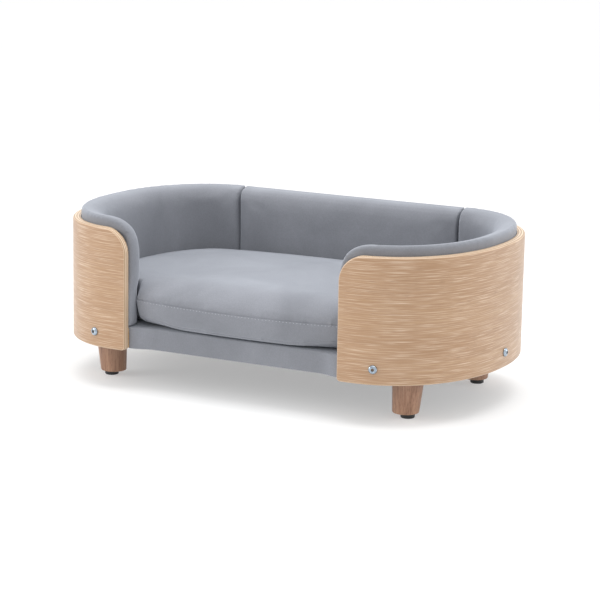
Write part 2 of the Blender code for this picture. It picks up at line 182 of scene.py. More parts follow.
def standingBoard(outline, near, far):
    # a flat board standing on edge, X along it and Y through it
    shape = bmesh.new()
    face = shape.faces.new([shape.verts.new((arc, near, height)) for arc, height in outline])
    drawn = bmesh.ops.extrude_face_region(shape, geom=[face])
    moved = [item for item in drawn["geom"] if isinstance(item, bmesh.types.BMVert)]
    bmesh.ops.translate(shape, verts=moved, vec=(0, far - near, 0))
    bmesh.ops.recalc_face_normals(shape, faces=shape.faces)
    return shape


def boardBlank(start, end, near, far, low, high, topRadius=0.0, footRadius=0.0, steps=10):
    # a rectangular board, its two front corners rounded
    outline = [(end, low), (end, high)]
    for centre, radius, first in (
        ((start + topRadius, high - topRadius), topRadius, 90),
        ((start + footRadius, low + footRadius), footRadius, 180),
    ):
        if radius:
            for step in range(steps + 1):
                turn = math.radians(first + 90 * step / steps)
                outline.append((centre[0] + radius * math.cos(turn), centre[1] + radius * math.sin(turn)))
        else:
            outline.append(centre)
    return standingBoard(outline, near, far)


def roundEdges(shape, chosen, radius, segments):
    edges = [edge for edge in shape.edges if chosen(*[vert.co for vert in edge.verts])]
    bmesh.ops.bevel(
        shape, geom=edges, offset=radius, segments=segments, profile=0.5, affect="EDGES", material=-1
    )


def cutAcross(shape, places, axis=0):
    # adds edge loops where these planes cross the shape
    normal = [float(axis == index) for index in range(3)]
    for place in places:
        everything = shape.verts[:] + shape.edges[:] + shape.faces[:]
        point = [place * part for part in normal]
        bmesh.ops.bisect_plane(shape, geom=everything, dist=1e-6, plane_co=point, plane_no=normal)


def looseObject(name, shape):
    # a helper object for the soft pieces while they are worked on
    mesh = bpy.data.meshes.new(name)
    shape.to_mesh(mesh)
    shape.free()
    helper = bpy.data.objects.new(name, mesh)
    bpy.context.scene.collection.objects.link(helper)
    return helper


def cutAway(shape, cutter):
    # takes the cutter's space out of the shape
    body, tool = looseObject("bodyWork", shape), looseObject("toolWork", cutter)
    cut = body.modifiers.new("cut", "BOOLEAN")
    cut.operation = "DIFFERENCE"
    cut.solver = "EXACT"
    cut.object = tool
    graph = bpy.context.evaluated_depsgraph_get()
    left = bmesh.new()
    left.from_mesh(body.evaluated_get(graph).data)
    for helper in (body, tool):
        bpy.data.objects.remove(helper)
    return left


def spinProfile(profile, steps):
    # (radius, height) points turned round Z
    shape = bmesh.new()
    points = [shape.verts.new((radius, 0, height)) for radius, height in profile]
    edges = [shape.edges.new(pair) for pair in zip(points, points[1:])]
    bmesh.ops.spin(
        shape, geom=points + edges, axis=(0, 0, 1), cent=(0, 0, 0), angle=2 * math.pi,
        steps=steps, use_merge=True,
    )
    bmesh.ops.remove_doubles(shape, verts=shape.verts, dist=1e-6)
    bmesh.ops.recalc_face_normals(shape, faces=shape.faces)
    return shape


def mirrored(points):
    return [(-x, y) for x, y in reversed(points)]


def nearestOn(points, line, closed):
    # distance from each point to the line, and the line's own left-hand side there
    starts = np.array(line)
    ends = np.roll(starts, -1, axis=0)
    if not closed:
        starts, ends = starts[:-1], ends[:-1]
    best = np.full(len(points), 1e9)
    side = np.zeros((len(points), 2))
    for start, end in zip(starts, ends):
        along = end - start
        share = np.clip(((points - start) @ along) / max(along @ along, 1e-12), 0, 1)
        gap = points - start - share[:, None] * along
        far = np.hypot(gap[:, 0], gap[:, 1])
        closer = far < best
        best[closer] = far[closer]
        side[closer] = (-along[1], along[0])
    side /= np.maximum(np.linalg.norm(side, axis=1, keepdims=True), 1e-12)
    return best, side


def smoothStep(value):
    value = np.clip(value, 0, 1)
    return value * value * (3 - 2 * value)


# how the padded pieces are simulated
clothWay = {
    "frames": 20, "quality": 6, "mass": 0.3, "stiffness": 12.0, "shear": 4.0, "bending": 0.6, "easing": 8,
}


def remeshed(piece, size):
    # an even mesh of small quads, as the cloth solver likes
    remesh = piece.modifiers.new("remesh", "REMESH")
    remesh.mode = "VOXEL"
    remesh.voxel_size = size
    graph = bpy.context.evaluated_depsgraph_get()
    mesh = bpy.data.meshes.new_from_object(piece.evaluated_get(graph))
    piece.modifiers.clear()
    piece.data = mesh
    return piece


def puffUp(piece, pressure, cap, held):
    # blows the piece up as sewn cloth, keeping each point within cap of where it was
    cloth = piece.modifiers.new("cloth", "CLOTH")
    way = cloth.settings
    way.quality = clothWay["quality"]
    way.mass = clothWay["mass"]
    way.tension_stiffness = way.compression_stiffness = clothWay["stiffness"]
    way.shear_stiffness = clothWay["shear"]
    way.bending_stiffness = clothWay["bending"]
    way.use_pressure = True
    way.uniform_pressure_force = pressure
    way.effector_weights.gravity = 0
    group = piece.vertex_groups.new(name="held")
    group.add([int(index) for index in held], 1.0, "REPLACE")
    way.vertex_group_mass = "held"
    cloth.point_cache.frame_start = 1
    cloth.point_cache.frame_end = clothWay["frames"]
    before = coordinates(piece.data)
    for step in range(1, clothWay["frames"] + 1):
        bpy.context.scene.frame_set(step)
    graph = bpy.context.evaluated_depsgraph_get()
    after = coordinates(piece.evaluated_get(graph).data)
    piece.modifiers.clear()
    piece.vertex_groups.clear()
    bpy.context.scene.frame_set(1)
    move = after - before
    # the creases that a stiff backing would hold flat are eased out
    edges = np.empty(len(piece.data.edges) * 2, np.int32)
    piece.data.edges.foreach_get("vertices", edges)
    first, second = edges.reshape(-1, 2).T
    around = np.bincount(edges, minlength=len(before)).reshape(-1, 1)
    for _ in range(clothWay["easing"]):
        total = np.zeros_like(move)
        np.add.at(total, first, move[second])
        np.add.at(total, second, move[first])
        move = 0.5 * move + 0.5 * total / around
        move[held] = 0
    far = np.maximum(np.linalg.norm(move, axis=1, keepdims=True), 1e-9)
    setCoordinates(piece.data, before + move * cap * np.tanh(far / cap) / far)
    print(piece.name, "simulated, moved up to", round(float(far.max()) * 1000, 1), "mm")


def subdivided(piece, levels=1):
    smooth = piece.modifiers.new("smooth", "SUBSURF")
    smooth.levels = smooth.render_levels = levels
    graph = bpy.context.evaluated_depsgraph_get()
    piece.data = bpy.data.meshes.new_from_object(piece.evaluated_get(graph))
    piece.modifiers.clear()



def makeVeneer():
    # Oak veneered birch plywood, sliced veneer under satin lacquer. The eye gets long fine pale and brown
    # streaks along the sheet, and thin pale plies wherever the edge is rounded.
    look = {
        "base": "a48161", "pale": "b1916f", "brown": "9c7957", "line": "d1b9a2", "pore": "775840",
        "edgePale": "e0c9ae", "edgeDark": "a58768", "ply": 0.0021, "sway": 0.0006,
    }
    material, tree, shader = newMaterial(
        "oakVeneeredPlywood", {"Roughness": 0.42, "IOR": 1.5, "Coat Weight": 0.25, "Coat Roughness": 0.3},
    )
    sheet = addNode(tree, "UVMap", {"uv_map": "sheet"})
    # The grain sways about half a millimetre up and down over a hand's length.
    swayMap = addNode(tree, "Mapping", {"Scale": (6, 3, 1)}, {"Vector": sheet.outputs["UV"]})
    sway = addNode(tree, "TexNoise", {"Scale": 1.0, "Detail": 1.0}, {"Vector": swayMap.outputs["Vector"]})
    swayed = addNode(
        tree, "VectorMath", {"operation": "MULTIPLY_ADD", 1: (0, look["sway"], 0)},
        {0: sway.outputs["Color"], 2: sheet.outputs["UV"]},
    )

    def streaks(alongScale, acrossScale, detail, offset):
        mapping = addNode(
            tree, "Mapping", {"Scale": (alongScale, acrossScale, 1), "Location": (offset, offset, 0)},
            {"Vector": swayed.outputs["Vector"]},
        )
        return addNode(
            tree, "TexNoise", {"Scale": 1.0, "Detail": detail, "Roughness": 0.55},
            {"Vector": mapping.outputs["Vector"]},
        ).outputs["Fac"]

    def between(value, low, high):
        # 0 under low to 1 over high
        return addNode(
            tree, "MapRange", {"From Min": low, "From Max": high}, {"Value": value},
        ).outputs["Result"]

    def product(first, second):
        return addNode(tree, "Math", {"operation": "MULTIPLY"}, {0: first, 1: second}).outputs[0]

    def tinted(colour, share, tint, strength):
        scaled = addNode(tree, "Math", {"operation": "MULTIPLY", 1: strength}, {0: share}).outputs[0]
        return addNode(
            tree, "Mix", {"data_type": "RGBA", 7: hexColour(tint)}, {0: scaled, 6: colour},
        ).outputs[2]

    broad = streaks(1.6, 26, 2, 3.1)     # 40 mm bands
    fine = streaks(8, 520, 2, 7.7)       # 1.9 mm streaks, 125 mm long
    hair = streaks(18, 900, 2, 1.3)      # 1.1 mm hairs, 55 mm long, drawn twice as coarse as real, to show
    pores = streaks(55, 900, 1, 5.9)     # open pores, drawn 1.1 mm wide, coarser than real, to show
    patches = streaks(5, 36, 2, 9.2)     # where pores gather
    tone = addNode(
        tree, "ValToRGB",
        {"stops": [(0.32, hexColour(look["brown"])), (0.50, hexColour(look["base"])),
                   (0.68, hexColour(look["pale"]))]},
        {"Fac": addNode(tree, "Mix", {"Factor": 0.6}, {"A": broad, "B": fine}).outputs["Result"]},
    ).outputs["Color"]
    lined = tinted(tone, between(hair, 0.50, 0.70), look["line"], 0.85)
    darkened = tinted(lined, between(hair, 0.44, 0.28), look["brown"], 0.5)
    veneer = tinted(darkened, product(between(pores, 0.60, 0.72), between(patches, 0.44, 0.62)),
                    look["pore"], 0.45)
    depth = addNode(tree, "Attribute", {"attribute_name": "depth"}).outputs["Fac"]
    ply = addNode(tree, "Math", {"operation": "PINGPONG", 1: look["ply"]}, {0: depth}).outputs[0]
    plyShare = between(ply, 0.35 * look["ply"], 0.65 * look["ply"])
    plies = addNode(
        tree, "Mix", {"data_type": "RGBA", 6: hexColour(look["edgePale"]), 7: hexColour(look["edgeDark"])},
        {0: plyShare},
    ).outputs[2]
    # the face veneers are 0.6 mm thick, and everything deeper shows its plies
    inPlies = product(between(depth, 0.0004, 0.0009), between(depth, plyThick - 0.0002, plyThick - 0.0007))
    colour = addNode(tree, "Mix", {"data_type": "RGBA"}, {0: inPlies, 6: veneer, 7: plies})
    tree.links.new(colour.outputs[2], shader.inputs["Base Color"])
    rough = addNode(tree, "MapRange", {"To Min": 0.34, "To Max": 0.5}, {"Value": fine})
    tree.links.new(rough.outputs["Result"], shader.inputs["Roughness"])
    lift = addNode(tree, "Mix", {"Factor": 0.5}, {"A": fine, "B": hair})
    bump = addNode(
        tree, "Bump", {"Strength": 0.2, "Distance": 0.0004}, {"Height": lift.outputs["Result"]},
    )
    tree.links.new(bump.outputs["Normal"], shader.inputs["Normal"])
    return material


def makeVelvet():
    # Holland velvet: a short dense polyester pile on a woven back. The eye gets a soft cool grey that pales
    # where the pile is seen edge-on, with slow brushed patches and a very fine grain.
    look = {"deep": "707278", "mid": "7c7e84", "pale": "898b92"}
    material, tree, shader = newMaterial(
        "greyVelvet",
        {"Roughness": 0.95, "Specular IOR Level": 0.2, "Sheen Weight": 0.5, "Sheen Roughness": 0.55,
         "Sheen Tint": hexColour("dfe6f2")},
    )
    place = addNode(tree, "TexCoord")
    brushed = addNode(
        tree, "TexNoise", {"Scale": 9.0, "Detail": 4.0, "Roughness": 0.55, "Distortion": 0.6},
        {"Vector": place.outputs["Object"]},
    )
    # Pile tufts are about 0.3 mm; drawn 2 mm wide so that they show.
    tufts = addNode(
        tree, "TexNoise", {"Scale": 520.0, "Detail": 3.0}, {"Vector": place.outputs["Object"]},
    )
    weave = addNode(
        tree, "TexVoronoi", {"Scale": 620.0, "Randomness": 0.8}, {"Vector": place.outputs["Object"]},
    )
    tone = addNode(
        tree, "ValToRGB",
        {"stops": [(0.30, hexColour(look["deep"])), (0.52, hexColour(look["mid"])),
                   (0.74, hexColour(look["pale"]))]},
        {"Fac": addNode(tree, "Mix", {"Factor": 0.35},
                        {"A": brushed.outputs["Fac"], "B": tufts.outputs["Fac"]}).outputs["Result"]},
    )
    tree.links.new(tone.outputs["Color"], shader.inputs["Base Color"])
    height = addNode(
        tree, "Mix", {"Factor": 0.4}, {"A": tufts.outputs["Fac"], "B": weave.outputs["Distance"]},
    )
    bump = addNode(
        tree, "Bump", {"Strength": 0.22, "Distance": 0.0005}, {"Height": height.outputs["Result"]},
    )
    tree.links.new(bump.outputs["Normal"], shader.inputs["Normal"])
    return material


def makeLegWood():
    # Beech turned on a lathe, brown stain under satin lacquer. The eye gets fine upright grain with short
    # darker flecks.
    look = {"base": "a07a62", "pale": "b8937a", "dark": "7d5a45"}
    material, tree, shader = newMaterial("stainedBeech", {"Roughness": 0.45, "IOR": 1.5})
    place = addNode(tree, "TexCoord")

    def grain(scale, detail):
        mapping = addNode(tree, "Mapping", {"Scale": scale}, {"Vector": place.outputs["Object"]})
        return addNode(
            tree, "TexNoise", {"Scale": 1.0, "Detail": detail, "Distortion": 0.4},
            {"Vector": mapping.outputs["Vector"]},
        ).outputs["Fac"]

    lines = grain((420, 420, 14), 4)
    bands = grain((95, 95, 9), 3)
    flecks = grain((750, 750, 130), 1)
    tone = addNode(
        tree, "ValToRGB",
        {"stops": [(0.30, hexColour(look["dark"])), (0.52, hexColour(look["base"])),
                   (0.75, hexColour(look["pale"]))]},
        {"Fac": addNode(tree, "Mix", {"Factor": 0.5}, {"A": lines, "B": bands}).outputs["Result"]},
    )
    fleckTone = addNode(
        tree, "ValToRGB", {"stops": [(0.36, grey(0.72)), (0.46, grey(1.0))]}, {"Fac": flecks},
    )
    colour = addNode(
        tree, "Mix", {"data_type": "RGBA", "blend_type": "MULTIPLY", "Factor": 0.7},
        {6: tone.outputs["Color"], 7: fleckTone.outputs["Color"]},
    )
    tree.links.new(colour.outputs[2], shader.inputs["Base Color"])
    bump = addNode(tree, "Bump", {"Strength": 0.15, "Distance": 0.0004}, {"Height": lines})
    tree.links.new(bump.outputs["Normal"], shader.inputs["Normal"])
    return material


def makeTimber(name, colours, scale, roughness):
    # planed or sanded wood that only shows when the bed is taken apart
    material, tree, shader = newMaterial(name, {"Roughness": roughness, "IOR": 1.5})
    place = addNode(tree, "TexCoord")
    mapping = addNode(tree, "Mapping", {"Scale": scale}, {"Vector": place.outputs["Object"]})
    grain = addNode(
        tree, "TexNoise", {"Scale": 1.0, "Detail": 5.0, "Distortion": 0.8},
        {"Vector": mapping.outputs["Vector"]},
    )
    tone = addNode(
        tree, "ValToRGB",
        {"stops": [(0.3 + 0.2 * step, hexColour(colour)) for step, colour in enumerate(colours)]},
        {"Fac": grain.outputs["Fac"]},
    )
    tree.links.new(tone.outputs["Color"], shader.inputs["Base Color"])
    bump = addNode(tree, "Bump", {"Strength": 0.2, "Distance": 0.0004}, {"Height": grain.outputs["Fac"]})
    tree.links.new(bump.outputs["Normal"], shader.inputs["Normal"])
    return material


def makeMetal(name, colours, roughness, scale, bumpStrength):
    # plated or turned metal: a little uneven in tone and gloss
    material, tree, shader = newMaterial(name, {"Metallic": 1.0, "Roughness": sum(roughness) / 2})
    place = addNode(tree, "TexCoord")
    cloud = addNode(
        tree, "TexNoise", {"Scale": scale, "Detail": 3.0}, {"Vector": place.outputs["Object"]},
    )
    tone = addNode(
        tree, "ValToRGB",
        {"stops": [(0.35, hexColour(colours[0])), (0.65, hexColour(colours[1]))]},
        {"Fac": cloud.outputs["Fac"]},
    )
    tree.links.new(tone.outputs["Color"], shader.inputs["Base Color"])
    rough = addNode(
        tree, "MapRange", {"To Min": roughness[0], "To Max": roughness[1]}, {"Value": cloud.outputs["Fac"]},
    )
    tree.links.new(rough.outputs["Result"], shader.inputs["Roughness"])
    bump = addNode(
        tree, "Bump", {"Strength": bumpStrength, "Distance": 0.0002}, {"Height": cloud.outputs["Fac"]},
    )
    tree.links.new(bump.outputs["Normal"], shader.inputs["Normal"])
    return material


def makeNylon():
    # Black nylon, injection moulded, with a faint spark-eroded grain
    material, tree, shader = newMaterial("blackNylon", {"Roughness": 0.45, "IOR": 1.53})
    place = addNode(tree, "TexCoord")
    grain = addNode(tree, "TexNoise", {"Scale": 1800.0, "Detail": 2.0}, {"Vector": place.outputs["Object"]})
    tone = addNode(
        tree, "ValToRGB",
        {"stops": [(0.3, hexColour("0d0d0e")), (0.7, hexColour("1b1b1d"))]}, {"Fac": grain.outputs["Fac"]},
    )
    tree.links.new(tone.outputs["Color"], shader.inputs["Base Color"])
    rough = addNode(tree, "MapRange", {"To Min": 0.38, "To Max": 0.55}, {"Value": grain.outputs["Fac"]})
    tree.links.new(rough.outputs["Result"], shader.inputs["Roughness"])
    bump = addNode(tree, "Bump", {"Strength": 0.2, "Distance": 0.0002}, {"Height": grain.outputs["Fac"]})
    tree.links.new(bump.outputs["Normal"], shader.inputs["Normal"])
    return material


def makeDustCloth():
    # Spunbonded polypropylene: thin matt black cloth with a small diamond of weld points
    material, tree, shader = newMaterial("blackDustCloth", {"Roughness": 0.9, "Specular IOR Level": 0.2})
    place = addNode(tree, "TexCoord")
    turned = addNode(
        tree, "Mapping", {"Rotation": (0, 0, math.radians(45)), "Scale": (400, 400, 400)},
        {"Vector": place.outputs["Object"]},
    )
    points = addNode(
        tree, "TexVoronoi", {"Scale": 1.0, "Randomness": 0.15}, {"Vector": turned.outputs["Vector"]},
    )
    tone = addNode(
        tree, "ValToRGB",
        {"stops": [(0.15, hexColour("0a0a0b")), (0.45, hexColour("242427"))]},
        {"Fac": points.outputs["Distance"]},
    )
    tree.links.new(tone.outputs["Color"], shader.inputs["Base Color"])
    bump = addNode(
        tree, "Bump", {"Strength": 0.5, "Distance": 0.0003}, {"Height": points.outputs["Distance"]},
    )
    tree.links.new(bump.outputs["Normal"], shader.inputs["Normal"])
    return material


def makeThread():
    # Polyester sewing thread, two plies twisted, a shade paler than the velvet
    material, tree, shader = newMaterial(
        "greyThread", {"Roughness": 0.6, "Sheen Weight": 0.3, "Specular IOR Level": 0.4},
    )
    place = addNode(tree, "TexCoord")
    twist = addNode(
        tree, "TexWave", {"Scale": 900.0, "bands_direction": "DIAGONAL"},
        {"Vector": place.outputs["Object"]},
    )
    tone = addNode(
        tree, "ValToRGB",
        {"stops": [(0.2, hexColour("9a9ea6")), (0.8, hexColour("b4b8c0"))]}, {"Fac": twist.outputs["Fac"]},
    )
    tree.links.new(tone.outputs["Color"], shader.inputs["Base Color"])
    return material


veneer = makeVeneer()
velvet = makeVelvet()
legWood = makeLegWood()
pine = makeTimber("pine", ("b98a55", "d2a873", "e2c08f"), (9, 160, 160), 0.65)
birch = makeTimber("birchPlywood", ("bf9a6c", "d3b286", "e4cba4"), (14, 90, 240), 0.6)
zinc = makeMetal("zincPlatedSteel", ("8d9aa8", "b4c0cb"), (0.10, 0.22), 260.0, 0.05)
blackSteel = makeMetal("blackenedSteel", ("2c2c2f", "47474a"), (0.32, 0.5), 400.0, 0.15)
brass = makeMetal("brass", ("c49a4a", "dcb566"), (0.22, 0.38), 500.0, 0.1)
nylon = makeNylon()
dustCloth = makeDustCloth()
thread = makeThread()
slotMaterials = {
    "oak_veneered_plywood": veneer, "birch_plywood": birch, "pine": pine, "stained_beech": legWood,
    "grey_velvet": velvet, "black_dust_cloth": dustCloth, "black_nylon": nylon,
    "zinc_plated_steel": zinc, "blackened_steel": blackSteel, "brass": brass,
}
print("materials made")

panelSizes = {
    "topRadius": 0.042, "footRadius": 0.006, "edgeRound": 0.0032, "edgeSegments": 5,
    "innerRound": 0.0008, "cuts": 120, "gap": 0.0003,
}


def markBoard(shape):
    # keeps where each point was on the flat sheet, for the grain, and how deep it lies, for the plies
    sheet = shape.loops.layers.uv.new("sheet")
    depth = shape.verts.layers.float.new("depth")
    for vert in shape.verts:
        vert[depth] = vert.co.y
    for face in shape.faces:
        for loop in face.loops:
            loop[sheet].uv = (loop.vert.co.x, loop.vert.co.z)


def roundBoard(shape, near, far, sizes):
    roundEdges(
        shape, lambda a, b: abs(a.y - near) < 1e-6 and abs(b.y - near) < 1e-6,
        sizes["edgeRound"], sizes["edgeSegments"],
    )
    roundEdges(
        shape, lambda a, b: abs(a.y - far) < 1e-6 and abs(b.y - far) < 1e-6, sizes["innerRound"], 2,
    )


def makeEndPanel(name, side):
    end = wholeArc - backJoint - panelSizes["gap"]
    shape = boardBlank(
        openingHalf, end, 0.0, plyThick, panelBottom, panelTop,
        panelSizes["topRadius"], panelSizes["footRadius"], 14,
    )
    roundBoard(shape, 0.0, plyThick, panelSizes)
    first, last = arcAtTurn(0), arcAtTurn(180)
    cuts = panelSizes["cuts"]
    cutAcross(shape, [first + (last - first) * step / cuts for step in range(cuts + 1)])
    markBoard(shape)
    bendShape(shape, side)
    piece = finishPiece(name + "EndPanel", shape, veneer, "bed_frame",
                        [name + "_end_panel"], 40)
    evenShading(piece)


def makeBackPanel():
    # X runs on from the right-hand end's sheet, so that the grain does too
    shape = boardBlank(
        wholeArc - backJoint, wholeArc + backJoint, 0.0, plyThick, panelBottom, panelTop,
    )
    roundBoard(shape, 0.0, plyThick, panelSizes)
    cutAcross(shape, [wholeArc + backJoint * step / 5 for step in range(-4, 5)])
    markBoard(shape)
    for vert in shape.verts:
        vert.co = (wholeArc - vert.co.x, halfDepth - vert.co.y, vert.co.z)
    piece = finishPiece("backPanel", shape, veneer, "bed_frame", ["back_panel"], 40)
    evenShading(piece)


for name, side in (("left", -1), ("right", 1)):
    makeEndPanel(name, side)
makeBackPanel()
print("plywood shell made")

liningSizes = {
    "boardFace": 0.0176,   # how far inside the plywood's outer face the padding starts
    "lipFace": 0.0137,     # the same where it wraps over and round its board
    "face": 0.0488,        # and where it ends
    "front": 0.1850,       # front end, from the middle of the bed
    "shoulder": 0.080,     # over this length the top climbs to its full height
    "shoulderTurn": 0.205, "shoulderPower": 3.3,
    "bottom": 0.1042, "top": 0.2815,
    "boardTop": 0.2588, "boardFront": 0.1960,
    "seam": 0.2111,        # where the end linings meet the back's
    "round": 0.0215, "outerRound": 0.0055, "endRound": 0.0045,
    "voxel": 0.0042, "pressure": 3.5, "cap": 0.0026,
    # where the cushion's corners press in, up the arms' front ends and outwards
    "pressDeep": 0.0042, "pressTop": 0.188, "pressFull": 0.160, "pressOuter": 0.203, "pressFade": 0.015,
    "seamGap": 0.0004, "lipShort": 0.004, "backLipShort": 0.002, "lipDeep": 0.012, "plyGap": 0.0004,
    "past": 0.01,  # how far a cutter runs on
}
shellOutline = [(x, y) for x, y in zip(lineX[1::12], lineY[1::12])]


def depthInShell(points):
    # how far each point lies inside the plywood's outer face, and which way is inward
    flat = points[:, :2].copy()
    side = np.where(flat[:, 0] < 0, -1.0, 1.0)
    flat[:, 0] *= side
    line = [(0.0, -halfDepth)] + shellOutline + [(0.0, halfDepth)]
    depth, inward = nearestOn(flat, line, False)
    inward[:, 0] *= side
    return depth, inward


def liningOutline(end):
    # (arc, height): up the front in one superellipse, and along the top
    size = liningSizes
    corner = size["front"] + size["shoulder"]
    points = [(end, size["bottom"]), (end, size["top"])]
    for step in range(25):
        turn = math.radians(90 * step / 24)
        root = 2 / size["shoulderPower"]
        points.append((
            corner - size["shoulder"] * math.sin(turn) ** root,
            size["shoulderTurn"] + (size["top"] - size["shoulderTurn"]) * math.cos(turn) ** root,
        ))
    return points + [(size["front"], size["bottom"])]


def joinShapes(shape, other):
    mesh = bpy.data.meshes.new("joined")
    other.to_mesh(mesh)
    other.free()
    shape.from_mesh(mesh)
    bpy.data.meshes.remove(mesh)


def endLiningShape():
    # the padding proper, and the lip that wraps over its board to the plywood
    size = liningSizes
    end = wholeArc - size["seam"] - size["seamGap"]
    shape = standingBoard(liningOutline(end), size["boardFace"], size["face"])

    def along(far):
        # edges of the outline on one face, clear of the bottom and of the seam
        def chosen(a, b):
            onFace = abs(a.y - far) < 1e-6 and abs(b.y - far) < 1e-6
            return onFace and max(a.z, b.z) > size["bottom"] + 1e-4 and min(a.x, b.x) < end - 1e-4
        return chosen

    roundEdges(shape, along(size["face"]), size["round"], 7)
    outline = liningOutline(end - size["lipShort"])
    lip = standingBoard(outline, size["lipFace"], size["boardFace"] + size["lipDeep"])
    roundEdges(lip, along(size["lipFace"]), size["outerRound"], 4)
    return shape, lip, end


def makeLining(name, side):
    size = liningSizes
    if side:
        shape, lip, end = endLiningShape()
        # the lip stays off the board: it keeps only what stands above it or in front of it
        keepOut = boardBlank(
            size["boardFront"], end + size["past"], size["lipFace"] - size["past"], size["boardFace"],
            size["bottom"] - size["past"], size["boardTop"],
        )
        joinShapes(shape, cutAway(lip, keepOut))
        cutAcross(shape, [arcAtTurn(3 * step) for step in range(1, 60)])
        bendShape(shape, side)
    else:
        seam, lipEnd = size["seam"], size["seam"] - size["backLipShort"]
        shape = boardBlank(-seam, seam, size["boardFace"], size["face"], size["bottom"], size["top"])

        def onTop(a, b):
            return min(a.z, b.z) > size["top"] - 1e-4

        roundEdges(
            shape, lambda a, b: onTop(a, b) and min(a.y, b.y) > size["face"] - 1e-6, size["round"], 7,
        )
        roundEdges(
            shape, lambda a, b: abs(a.x - b.x) < 1e-6 and min(a.y, b.y) > size["face"] - 1e-6,
            size["endRound"], 3,
        )
        lip = boardBlank(
            -lipEnd, lipEnd, size["lipFace"], size["boardFace"] + size["lipDeep"],
            size["boardTop"], size["top"],
        )
        roundEdges(
            lip, lambda a, b: onTop(a, b) and max(a.y, b.y) < size["boardFace"], size["outerRound"], 4,
        )
        joinShapes(shape, lip)
        for vert in shape.verts:
            vert.co = (vert.co.x, halfDepth - vert.co.y, vert.co.z)
        bmesh.ops.reverse_faces(shape, faces=shape.faces)
    helper = looseObject(name + "LiningWork", shape)
    remeshed(helper, size["voxel"])
    points = coordinates(helper.data)
    depth, _ = depthInShell(points)
    held = (depth < size["boardFace"] + 0.001) | (points[:, 2] < size["bottom"] + 0.001)
    puffUp(helper, size["pressure"], size["cap"], np.nonzero(held)[0])
    subdivided(helper)
    points = coordinates(helper.data)
    depth, inward = depthInShell(points)
    # nothing swells into the plywood
    short = np.maximum(plyThick + size["plyGap"] - depth, 0)
    points[:, :2] += inward * short[:, None]
    # the cushion's front corners press the ends of the arms outwards
    pressed = smoothStep((size["pressTop"] - points[:, 2]) / (size["pressTop"] - size["pressFull"]))
    pressed *= smoothStep((size["pressOuter"] - np.abs(points[:, 0])) / size["pressFade"])
    pressed *= points[:, 1] < 0
    points[:, 0] += np.sign(points[:, 0]) * size["pressDeep"] * pressed
    setCoordinates(helper.data, points)
    piece = finishPiece(name + "Lining", helper.data, velvet, "bed_frame",
                        [name + "_lining"], 0)
    bpy.data.objects.remove(helper)


for name, side in (("left", -1), ("back", 0), ("right", 1)):
    makeLining(name, side)
print("linings made")

cushionSizes = {
    "inset": 0.0535,        # from the plywood's outer face
    "frontMiddle": 0.2125, "frontEnd": 0.2000, "frontHalf": 0.1900, "corner": 0.012,
    "bottom": 0.1047, "edgeLift": 0.0042, "cornerLift": 0.009, "tuck": 0.006,
    "seamMiddle": 0.1462, "seamEnd": 0.1485, "seamLined": 0.1600,
    "crownMiddle": 0.1815, "crownEnd": 0.1740,
    "frontReach": 0.090, "frontPower": 3.8, "frontRound": 0.62, "linedReach": 0.024, "linedPower": 2.6,
    "cornerReach": 0.006, "armEnd": 0.225,  # past this the top falls to its seam behind the arms
    "voxel": 0.0046, "pressure": 6.0, "cap": 0.0035,
    "earStart": 0.012, "earSteps": 90, "crownHalf": 0.32,
    "seamRiseFrom": 0.020, "seamRiseOver": 0.060, "edgeReach": 0.020,
    "cornerFrom": 0.090, "cornerOver": 0.090, "cornerDeep": 0.050,
    "tuckReach": 0.030, "tuckPower": 1.3, "runOn": 0.1,
}
seamSizes = {
    "reach": 0.0045, "groove": 0.0014, "grooveWide": 0.0009, "ridge": 0.0003, "ridgeAt": 0.0030,
    "ridgeWide": 0.0016, "pucker": 0.00045, "puckerReach": 0.011, "puckerScale": 95.0, "pathStep": 0.0012,
}
stitchSizes = {"pitch": 0.0056, "long": 0.0024, "thick": 0.0009, "below": 0.0025, "castFrom": 0.02}


def cushionOutline():
    # the free front from middle to side, then the stretch along the linings to the middle of the back
    size = cushionSizes
    free = []
    for step in range(41):
        x = (size["frontHalf"] - size["corner"]) * step / 40
        bow = (x / size["frontHalf"]) ** 2
        free.append((x, -size["frontMiddle"] + (size["frontMiddle"] - size["frontEnd"]) * bow))
    centreX, centreY = free[-1][0], free[-1][1] + size["corner"]
    for step in range(1, 9):
        turn = math.radians(90 * step / 8 - 90)
        free.append((centreX + size["corner"] * math.cos(turn), centreY + size["corner"] * math.sin(turn)))
    inner = -halfDepth + size["inset"]
    lined = [(size["frontHalf"], centreY + (inner - centreY) * step / 4) for step in range(1, 5)]
    count = size["earSteps"]
    arcs = np.linspace(shellLine["endCentre"] - size["earStart"], arcAtTurn(180), count)
    ear = bendPoints(np.stack([arcs, np.full(count, size["inset"]), np.zeros(count)], axis=1), 1)
    lined += [(x, y) for x, y, _ in ear]
    lined += [(shellLine["endCentre"] * step / 12, ear[-1][1]) for step in range(11, -1, -1)]
    return free, lined


def seamHeight(x, farFromFront):
    size = cushionSizes
    outwards = np.minimum(np.abs(x) / size["frontHalf"], 1)
    front = size["seamMiddle"] + (size["seamEnd"] - size["seamMiddle"]) * outwards ** 2
    back = smoothStep((farFromFront - size["seamRiseFrom"]) / size["seamRiseOver"])
    return front + (size["seamLined"] - front) * back


def footHeight(x, farFromFront, edge):
    # the bottom lies flat, and lifts a little at its edge and more at the front corners
    size = cushionSizes
    lift = size["edgeLift"] * (1 - np.clip(edge / size["edgeReach"], 0, 1)) ** 2
    corner = smoothStep((np.abs(x) - size["cornerFrom"]) / size["cornerOver"])
    corner = corner * (1 - np.clip(farFromFront / size["cornerDeep"], 0, 1)) ** 2
    return size["bottom"] + lift + size["cornerLift"] * corner


